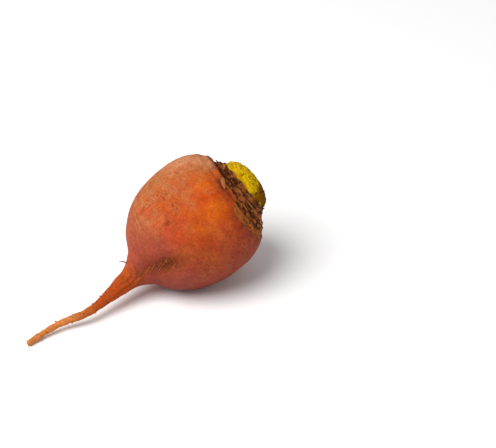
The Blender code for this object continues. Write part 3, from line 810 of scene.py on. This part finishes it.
rootHairs = {
    "seed": 5, "inGroove": 7, "rowStart": -21.5, "rowPitch": 2.6, "sunk": 1.3, "thick": 0.24, "thin": 0.09,
    "nubs": [(-53, 185), (-58, 54), (-64, 72), (-71, 128), (-77, 200), (-84, 54), (-91, 150)],  # u and turn
    "nubLength": 1.0, "nubThick": 0.5, "nubThin": 0.3,
    "fineSeed": 8, "mattedInGroove": 34, "mattedOnNeck": 16, "fineOnTaproot": 12,
    "fineThick": 0.12, "fineThin": 0.05,
    "darkHairs": [(-38, 51, 2.8), (-33, 330, 4.0), (-22, 338, 3.0)],      # u, turn and length
}


def hairPath(u, turnDegrees, length, lean, bend, sunk, steps=7):
    # stands off the skin: leaning towards the tail, and bending by the given sweep
    place, outward = skinPlace([u], [math.radians(turnDegrees)])
    tangent = lineAxes(u)[0][0]
    way = outward[0] - lean * tangent
    way /= np.linalg.norm(way)
    path = []
    for k in range(steps):
        share = k / (steps - 1)
        step = way * (sunk + length) * share - outward[0] * sunk + bend * length * share ** 2
        step = place[0] + mm * step
        step[2] = max(step[2], 0.3 * mm)
        path.append(step)
    return path


def mattedPath(u, turnDegrees, slip, swing, lift, draw, steps=9):
    # lies along the skin: slip in millimetres along the line, swing in degrees round it, and a little lift
    share = np.linspace(0.0, 1.0, steps)
    wave = draw.uniform(0.5, 1.5) * np.sin(share * draw.uniform(3.0, 6.0))
    places, outward = skinPlace(u + slip * share, np.radians(turnDegrees + swing * share + wave))
    path = places + outward * (mm * (-0.1 + 0.2 * ease(share * 4.0) + lift * share ** 2))[:, None]
    path[:, 2] = np.maximum(path[:, 2], 0.2 * mm)
    return list(path)


def growHairs(name, hairs, thick, thin):
    curve = bpy.data.curves.new(name, "CURVE")
    curve.dimensions = "3D"
    curve.bevel_depth = thick * mm
    curve.bevel_resolution = 1
    curve.use_fill_caps = True
    for path in hairs:
        spline = curve.splines.new("POLY")
        spline.points.add(len(path) - 1)
        for k, (point, place) in enumerate(zip(spline.points, path)):
            point.co = (*place, 1.0)
            point.radius = 1.0 + (thin / thick - 1.0) * k / (len(path) - 1)
    piece = bpy.data.objects.new(name, curve)
    bpy.context.scene.collection.objects.link(piece)
    workOn(piece)
    bpy.ops.object.convert(target="MESH")
    return bpy.context.object


def makeRootlets(material):
    h, r = rootHairs, rootRelief
    draw = random.Random(h["seed"]).uniform
    hairs = []
    for start in r["grooveTurns"]:
        for i in range(h["inGroove"]):
            u = h["rowStart"] - h["rowPitch"] * i + draw(-0.7, 0.7)
            turn = start + r["grooveDrift"] * (u - r["grooveCentre"]) + draw(-7, 7)
            bend = np.array([-0.3, draw(-0.2, 0.2), -0.35])
            hairs.append(hairPath(u, turn, draw(3.0, 5.0), draw(0.9, 1.6), bend, h["sunk"]))
    rootlets = growHairs("sideRootlets", hairs, h["thick"], h["thin"])
    stumps = [hairPath(u, turn, h["nubLength"], 0.8, np.zeros(3), h["sunk"]) for u, turn in h["nubs"]]
    piece = joinAll([rootlets, growHairs("nubs", stumps, h["nubThick"], h["nubThin"])], "sideRootlets")
    return finishPiece(piece, "sideRootlets", material)


def makeFineHairs(material):
    h, r = rootHairs, rootRelief
    draw = random.Random(h["fineSeed"])
    hairs = []
    for start in r["grooveTurns"]:
        for i in range(h["mattedInGroove"]):
            u = -21.5 - 13.0 * i / h["mattedInGroove"] + draw.uniform(-0.5, 0.5)
            turn = start + r["grooveDrift"] * (u - r["grooveCentre"]) + draw.uniform(-4, 12)
            slip = draw.choice((-1.0, 1.0)) * draw.uniform(0.3, 1.6)
            hairs.append(mattedPath(u, turn, slip, draw.uniform(-14, -6), draw.uniform(0.0, 0.3), draw))
        for i in range(h["mattedOnNeck"]):
            u = -38.0 - 10.0 * i / h["mattedOnNeck"] + draw.uniform(-1, 1)
            hairs.append(mattedPath(u, start + draw.uniform(-40, 30), draw.uniform(0.5, 3.0),
                                    draw.uniform(-40, -10), draw.uniform(0.1, 0.7), draw))
    for _ in range(h["fineOnTaproot"]):
        hairs.append(mattedPath(draw.uniform(-98, -52), draw.uniform(0, 360), draw.uniform(-3.0, -1.5),
                                draw.uniform(-50, 50), draw.uniform(0.2, 0.8), draw))
    tip = linePoint(-102.6)[0] * mm
    hairs.append([tip + mm * np.array([-0.35 * k, -1.3 * k, -0.28 * k]) for k in range(5)])
    piece = growHairs("fineRootHairs", hairs, h["fineThick"], h["fineThin"])
    return finishPiece(piece, "fineRootHairs", material)


def makeDarkHairs(material):
    hairs = [hairPath(u, turn, length, 0.2, np.array([-0.5, 0.1, -0.35]), 0.4)
             for u, turn, length in rootHairs["darkHairs"]]
    piece = growHairs("driedRootHairs", hairs, 0.34, 0.16)
    return finishPiece(piece, "driedRootHairs", material)


# Node helpers

class NodePen:
    # adds nodes to one tree: a value that is a socket is linked, any other is set

    def __init__(self, tree):
        self.tree = tree

    def put(self, value, socket):
        if isinstance(value, bpy.types.NodeSocket):
            self.tree.links.new(value, socket)
        else:
            socket.default_value = value

    def add(self, kind, inputs, **settings):
        node = self.tree.nodes.new("ShaderNode" + kind)
        for key, value in settings.items():
            setattr(node, key, value)
        for key, value in inputs.items():
            self.put(value, node.inputs[key])
        return node

    def noise(self, place, scale, **inputs):
        size = "4D" if "W" in inputs else "3D"
        inputs = {"Vector": place, "Scale": scale, **inputs}
        return self.add("TexNoise", inputs, noise_dimensions=size).outputs["Fac"]

    def mix(self, factor, first, second, blend="MIX"):
        sides = [(*side[:3], 1.0) if isinstance(side, tuple) else side for side in (first, second)]
        inputs = {0: factor, 6: sides[0], 7: sides[1]}
        return self.add("Mix", inputs, data_type="RGBA", blend_type=blend).outputs[2]

    def paint(self, finish, colour, *layers):
        # lays colours of the finish over the first one, each by its factor
        for factor, name in layers:
            colour = self.mix(factor, colour, finish[name])
        return colour

    def sums(self, operation, first, second):
        return self.add("Math", {0: first, 1: second}, operation=operation).outputs[0]

    def times(self, first, second):
        return self.sums("MULTIPLY", first, second)

    def between(self, value, low, high, outLow=0.0, outHigh=1.0, kind="SMOOTHSTEP"):
        inputs = {"Value": value, "From Min": low, "From Max": high, "To Min": outLow, "To Max": outHigh}
        return self.add("MapRange", inputs, interpolation_type=kind).outputs["Result"]

    def read(self, name, output="Fac"):
        return self.add("Attribute", {}, attribute_name=name).outputs[output]

    def objectPlace(self):
        return self.add("TexCoord", {}).outputs["Object"]

    def use(self, group, **inputs):
        return self.add("Group", inputs, node_tree=group).outputs


def newGroup(name, inputs, outputs):
    # an input's value tells its kind: None for a place, a number for a value, four numbers for a colour
    group = bpy.data.node_groups.new(name, "ShaderNodeTree")
    kinds = {type(None): "NodeSocketVector", float: "NodeSocketFloat", tuple: "NodeSocketColor"}
    for label, value in inputs.items():
        socket = group.interface.new_socket(label, in_out="INPUT", socket_type=kinds[type(value)])
        if value is not None:
            socket.default_value = value
    for label in outputs:
        kind = "NodeSocketColor" if label == "Color" else "NodeSocketFloat"
        group.interface.new_socket(label, in_out="OUTPUT", socket_type=kind)
    given = group.nodes.new("NodeGroupInput").outputs
    return NodePen(group), [given[label] for label in inputs], group.nodes.new("NodeGroupOutput").inputs


def buildPatchGroup():
    # soft irregular patches: a warped noise between two levels
    inputs = {"Vector": None, "Scale": 60.0, "Seed": 0.0, "From": 0.45, "To": 0.6}
    pen, (place, scale, seed, low, high), out = newGroup("softPatches", inputs, ["Mask"])
    broad = pen.noise(place, scale, W=seed, Detail=4.0, Roughness=0.62, Distortion=0.35)
    pen.put(pen.between(broad, low, high), out["Mask"])
    return pen.tree


def buildCrackGroup():
    # a broken net of hair-thin lines
    inputs = {"Vector": None, "Scale": 500.0, "Width": 0.05, "Broken": 0.5}
    pen, (place, scale, width, broken), out = newGroup("hairCracks", inputs, ["Mask"])
    warp = pen.add("TexNoise", {"Vector": place, "Scale": scale, "Detail": 3.0}).outputs["Color"]
    shift = pen.add("VectorMath", {0: warp, 1: [0.0016] * 3}, operation="MULTIPLY").outputs[0]
    moved = pen.add("VectorMath", {0: place, 1: shift}, operation="ADD").outputs[0]
    net = pen.add("TexVoronoi", {"Vector": moved, "Scale": scale}, feature="DISTANCE_TO_EDGE")
    line = pen.between(net.outputs["Distance"], 0.0, width, 1.0, 0.0, "LINEAR")
    gaps = pen.noise(place, pen.times(scale, 0.3), Detail=2.0)
    kept = pen.between(gaps, broken, pen.sums("ADD", broken, 0.1), kind="LINEAR")
    pen.put(pen.times(line, kept), out["Mask"])
    return pen.tree


def buildFibreGroup():
    # fine stripes, long where the given place changes slowly
    inputs = {"Vector": None, "Scale": 900.0, "Seed": 0.0}
    pen, (place, scale, seed), out = newGroup("plantFibres", inputs, ["Mask", "Height"])
    broad = pen.noise(place, scale, W=seed, Detail=3.0, Roughness=0.6)
    fine = pen.noise(place, pen.times(scale, 3.1), W=seed, Detail=2.0)
    pen.put(pen.between(broad, 0.38, 0.62), out["Mask"])
    pen.put(pen.sums("ADD", broad, pen.times(fine, 0.5)), out["Height"])
    return pen.tree


barkColours = {
    "Dark": (0.055, 0.013, 0.002, 1.0), "Brown": (0.34, 0.090, 0.017, 1.0), "Tan": (0.47, 0.180, 0.054, 1.0),
}


def buildCorkGroup():
    # old brown bark: blotches of three browns, darker as painted shade where it is creased, and its crumbly
    # height
    inputs = {"Vector": None, "Scale": 330.0, "Crease": 0.0, **barkColours}
    pen, (place, scale, crease, dark, brown, tan), out = newGroup("corkBark", inputs, ["Color", "Height"])
    broad = pen.noise(place, scale, Detail=5.0, Roughness=0.65)
    fine = pen.noise(place, pen.times(scale, 2.7), Detail=4.0, Roughness=0.6)
    # painted shade: darker browns and fewer tan flecks in the creases
    shade = pen.sums("SUBTRACT", broad, pen.times(crease, 0.22))
    colour = pen.mix(pen.between(shade, 0.32, 0.5), dark, brown)
    flecks = pen.times(pen.between(fine, 0.54, 0.66), pen.between(crease, 0.15, 0.7, 0.8, 0.0))
    pen.put(pen.mix(flecks, colour, tan), out["Color"])
    pen.put(pen.sums("ADD", broad, fine), out["Height"])
    return pen.tree


def buildGrainGroup():
    # fine uneven tone round 1, to multiply a colour by
    inputs = {"Vector": None, "Scale": 900.0, "Contrast": 1.0}
    pen, (place, scale, contrast), out = newGroup("skinGrain", inputs, ["Tone"])
    speck = pen.noise(place, scale, Detail=5.0, Roughness=0.75, Distortion=0.2)
    tone = pen.sums("ADD", pen.times(pen.sums("SUBTRACT", speck, 0.5), contrast), 1.0)
    pen.put(pen.add("Clamp", {"Value": tone, "Min": 0.4, "Max": 1.6}).outputs[0], out["Tone"])
    return pen.tree


patchGroup, crackGroup, fibreGroup, corkGroup, grainGroup = (build() for build in (
    buildPatchGroup, buildCrackGroup, buildFibreGroup, buildCorkGroup, buildGrainGroup))


def newFinish(name, roughness, specular):
    material = bpy.data.materials.new(name)
    material.use_nodes = True
    shader = material.node_tree.nodes["Principled BSDF"]
    shader.inputs["Roughness"].default_value = roughness
    shader.inputs["Specular IOR Level"].default_value = specular
    return material, NodePen(material.node_tree), shader


def closeFinish(pen, shader, colour, roughness, height, depth):
    bump = pen.add("Bump", {"Height": height, "Distance": depth, "Strength": 1.0})
    for name, value in (("Base Color", colour), ("Roughness", roughness),
                        ("Normal", bump.outputs["Normal"])):
        pen.put(value, shader.inputs[name])


skinFinish = {
    "orange": (0.43, 0.080, 0.013), "red": (0.38, 0.046, 0.010), "gold": (0.56, 0.102, 0.003),
    "flush": (0.43, 0.050, 0.003), "rose": (0.35, 0.066, 0.038), "dusty": (0.43, 0.155, 0.056),
    # the paler colour of the painted light on the top
    "bloom": (0.58, 0.24, 0.11),
    "soil": (0.20, 0.062, 0.020), "fleck": (0.54, 0.21, 0.075), "stain": (0.17, 0.032, 0.008),
    # the darkest colours: deep marks, and the painted shade of the underside
    "deep": (0.11, 0.016, 0.004), "dusk": (0.195, 0.040, 0.033), "taproot": (0.37, 0.056, 0.008),
    "ochre": (0.45, 0.125, 0.010), "tailEnd": (0.61, 0.215, 0.058), "roughness": 0.55,
}


def makeSkinMaterial():
    f = skinFinish
    material, pen, shader = newFinish("beetSkin", f["roughness"], 0.04)
    times, between, sums = pen.times, pen.between, pen.sums
    straight = pen.read("straight", "Vector")
    names = "tan bloom gold flush scored cork stain blush dusk crease hollow pitted taproot tailEnd"
    mask = {name: pen.read(name) for name in names.split()}

    def patches(scale, seed, low, high, place=straight):
        return pen.use(patchGroup, Vector=place, Scale=scale, Seed=seed, From=low, To=high)["Mask"]

    def stretched(scale):
        return pen.add("Mapping", {"Vector": straight, "Scale": scale}).outputs[0]

    # the dusty film is thick on the upper side and patchy elsewhere, and the soil in it follows
    film = times(mask["tan"], between(patches(330.0, 2.0, 0.32, 0.66), 0.0, 1.0, 0.3, 1.0))
    soil = times(patches(520.0, 8.0, 0.52, 0.7), between(mask["tan"], 0.0, 1.0, 0.12, 0.6))
    specks = times(patches(1300.0, 7.0, 0.55, 0.66), between(mask["tan"], 0.0, 1.0, 0.15, 0.5))
    cracks = pen.use(crackGroup, Vector=straight, Scale=420.0, Width=0.07, Broken=0.5)["Mask"]
    # short cross marks round the root
    crossways = stretched((3.2, 0.55, 0.55))
    dashes = patches(420.0, 3.0, 0.62, 0.74, crossways)
    worms = patches(560.0, 11.0, 0.53, 0.6, crossways)
    colour = pen.paint(
        f, f["orange"], (patches(80.0, 1.0, 0.42, 0.6), "red"),
        (times(patches(170.0, 5.0, 0.5, 0.68), 0.45), "gold"),
        (times(mask["gold"], 0.85), "gold"), (times(mask["flush"], 0.95), "flush"),
        # painted light on the top of the globe
        (times(mask["blush"], 0.75), "rose"), (film, "dusty"), (times(mask["bloom"], 0.8), "bloom"),
        (soil, "soil"), (specks, "soil"), (times(patches(1000.0, 6.0, 0.58, 0.72), 0.35), "fleck"),
        (times(cracks, 0.25), "soil"), (times(dashes, 0.3), "deep"),
        # painted shade on the underside and the neck side
        (times(times(worms, mask["scored"]), 0.8), "deep"), (times(mask["dusk"], 0.72), "dusk"))
    # taproot: orange with ochre stretches and dark rings, paler to the tip
    ochre = times(patches(130.0, 9.0, 0.45, 0.6), between(mask["tailEnd"], 0.0, 0.4, 0.25, 1.0))
    tail = pen.paint(f, f["taproot"], (ochre, "ochre"), (times(mask["tailEnd"], 0.8), "tailEnd"),
                     (times(dashes, 0.45), "deep"), (times(patches(900.0, 4.0, 0.52, 0.68), 0.3), "soil"))
    colour = pen.mix(mask["taproot"], colour, tail)
    for scale, contrast in ((950.0, between(mask["tan"], 0.0, 1.0, 1.5, 1.4)), (330.0, 0.8)):
        tone = pen.use(grainGroup, Vector=straight, Scale=scale, Contrast=contrast)["Tone"]
        colour = pen.mix(1.0, colour, tone, "MULTIPLY")
    stain = times(mask["stain"], between(patches(300.0, 3.5, 0.35, 0.65), 0.0, 1.0, 0.35, 0.95))
    # painted shade, darker deep in the root grooves; the pits are darkened as well
    colour = pen.paint(f, colour, (times(mask["hollow"], 0.85), "deep"),
                                              (times(mask["pitted"], 0.6), "deep"),
                       (stain, "stain"))
    # brown crown, with streaks that lie round it
    # the bark is darker in the ridges' hollows, as painted shade
    bark = pen.use(corkGroup, Vector=pen.objectPlace(), Crease=mask["crease"], **barkColours)
    ringLines = stretched((3.6, 0.5, 0.5))
    barkColour = pen.paint(barkColours, bark["Color"],
                           (times(patches(330.0, 13.0, 0.5, 0.6, ringLines), 0.8), "Dark"),
                           (times(patches(520.0, 17.0, 0.56, 0.66, ringLines), 0.55), "Tan"))
    colour = pen.mix(mask["cork"], colour, barkColour)
    rough = sums("ADD", times(mask["tan"], 0.12), times(mask["cork"], 0.25))
    rough = sums("ADD", rough, between(specks, 0.0, 1.0, f["roughness"], f["roughness"] + 0.1))
    height = sums("SUBTRACT", times(pen.noise(straight, 1600.0, Detail=3.0), 0.5), times(cracks, 0.35))
    height = sums("SUBTRACT", height, times(dashes, 0.5))
    height = sums("ADD", height, times(times(bark["Height"], mask["cork"]), 2.0))
    closeFinish(pen, shader, colour, rough, height, 0.0002)
    return material


corkFinish = {"roughness": 0.82}


def makeCorkMaterial():
    rough = corkFinish["roughness"]
    material, pen, shader = newFinish("oldLeafBase", rough, 0.1)
    fibres = pen.use(fibreGroup, Vector=pen.read("fibrePlace", "Vector"), Scale=900.0, Seed=2.0)
    # the bark gets painted shade where crease is high
    bark = pen.use(corkGroup, Vector=pen.objectPlace(), Crease=pen.read("crease"), **barkColours)
    lighter = pen.times(pen.between(fibres["Mask"], 0.0, 1.0, 0.25, 1.0),
                        pen.between(pen.read("tint"), 0.2, 1.0, 0.0, 0.95))
    closeFinish(pen, shader, pen.mix(lighter, bark["Color"], barkColours["Tan"]),
                pen.between(fibres["Mask"], 0.0, 1.0, rough - 0.1, rough + 0.1),
                pen.sums("ADD", fibres["Height"], bark["Height"]), 0.0003)
    return material


stalkFinish = {
    "lemon": (0.66, 0.45, 0.002), "gold": (0.61, 0.34, 0.002), "pale": (0.60, 0.36, 0.05),
    # darker fibre stripes, and painted shade on the low side and at the stubs' feet
    "bruiseAndShade": (0.19, 0.060, 0.001),
    "cut": (0.68, 0.43, 0.006), "roughness": 0.5,
}


def makeStalkMaterial():
    f = stalkFinish
    material, pen, shader = newFinish("cutLeafStalk", f["roughness"], 0.02)
    tint, cutFace, rise, lowSide = (pen.read(name) for name in ("tint", "cutFace", "rise", "lowSide"))
    fibres = pen.use(fibreGroup, Vector=pen.read("fibrePlace", "Vector"), Scale=1100.0, Seed=1.0)
    paling = pen.use(patchGroup, Vector=pen.objectPlace(), Scale=240.0, Seed=3.0, From=0.5, To=0.7)["Mask"]
    colour = pen.paint(
        f, f["lemon"], (tint, "gold"), (pen.times(fibres["Mask"], 0.3), "bruiseAndShade"),
        (pen.times(paling, 0.35), "pale"),
        # painted shade: the low side and the stubs' feet darken
        (pen.times(cutFace, 0.6), "cut"), (pen.between(lowSide, 0.8, 1.0, 0.0, 0.95), "bruiseAndShade"),
        (pen.between(rise, 0.0, 0.35, 0.7, 0.0), "bruiseAndShade"))
    rough = pen.between(fibres["Mask"], 0.0, 1.0, f["roughness"] - 0.08, f["roughness"] + 0.12)
    closeFinish(pen, shader, colour, rough, fibres["Height"], 0.00025)
    return material


hairFinish = {
    "brown": (0.26, 0.065, 0.012), "grey": (0.05, 0.038, 0.03), "matted": (0.40, 0.13, 0.032),
    "shaded": (0.17, 0.040, 0.009), "roughness": 0.65,
}


def makeHairMaterial(name, first, second):
    f = hairFinish
    material, pen, shader = newFinish(name, f["roughness"], 0.1)
    place = pen.objectPlace()
    patches = pen.use(patchGroup, Vector=place, Scale=600.0, Seed=2.0, From=0.35, To=0.65)["Mask"]
    closeFinish(pen, shader, pen.mix(patches, f[first], f[second]),
                pen.between(patches, 0.0, 1.0, 0.55, 0.75), pen.noise(place, 2500.0), 0.0001)
    return material


# Floor, light and camera

studio = {
    "floorSize": 6.0, "floorGap": 0.0001, "floorColour": (0.93, 0.93, 0.93), "skyStrength": 0.42,
    "lampPlace": (-0.92, -0.135, 1.39), "lampSize": 1.35, "lampPower": 32.1,
}

view = {
    "azimuth": -32.0, "elevation": 33.0, "distance": 0.9, "lens": 135.0, "sensor": 36.0,
    "globeCentre": (3.2, -0.7, 30.8), "aimRight": 25.4, "aimUp": -0.24,
}


def makeFloor():
    deselectAll()
    bpy.ops.mesh.primitive_plane_add(size=studio["floorSize"], location=(0, 0, -studio["floorGap"]))
    floor = bpy.context.object
    floor.name = "paleFloor"
    material, pen, shader = newFinish("paleFloor", 0.9, 0.0)
    pen.put((*studio["floorColour"], 1.0), shader.inputs["Base Color"])
    floor.data.materials.append(material)


def makeLight():
    scene = bpy.context.scene
    world = bpy.data.worlds.new("studioSky")
    world.use_nodes = True
    world.node_tree.nodes["Background"].inputs["Color"].default_value = (1.0, 1.0, 1.0, 1.0)
    world.node_tree.nodes["Background"].inputs["Strength"].default_value = studio["skyStrength"]
    scene.world = world
    deselectAll()
    bpy.ops.object.light_add(type="AREA", location=studio["lampPlace"])
    lamp = bpy.context.object
    lamp.name = "softLamp"
    lamp.rotation_euler = Vector(studio["lampPlace"]).to_track_quat("Z", "Y").to_euler()
    lamp.data.shape = "DISK"
    lamp.data.size = studio["lampSize"]
    lamp.data.energy = studio["lampPower"]
    scene.view_settings.view_transform = "Standard"


def makeCamera():
    a, e = math.radians(view["azimuth"]), math.radians(view["elevation"])
    back = Vector((math.sin(a) * math.cos(e), -math.cos(a) * math.cos(e), math.sin(e)))
    right = Vector((math.cos(a), math.sin(a), 0.0))
    aim = (Vector(view["globeCentre"]) + view["aimRight"] * right + view["aimUp"] * back.cross(right)) * mm
    deselectAll()
    bpy.ops.object.camera_add(location=aim + back * view["distance"])
    camera = bpy.context.object
    camera.rotation_euler = back.to_track_quat("Z", "Y").to_euler()
    camera.data.lens = view["lens"]
    camera.data.sensor_width = view["sensor"]
    camera.data.clip_start = 0.01
    bpy.context.scene.camera = camera


makeCamera()
makeFloor()
makeLight()
print("stage ready")
skinMaterial = makeSkinMaterial()
corkMaterial = makeCorkMaterial()
makeRoot(skinMaterial)
makeRootlets(makeHairMaterial("rootletSkin", "matted", "brown"))
makeFineHairs(makeHairMaterial("fineRootHair", "matted", "shaded"))
makeDarkHairs(makeHairMaterial("driedRootHair", "grey", "grey"))
makeCollar(corkMaterial)
makeStalks(makeStalkMaterial())
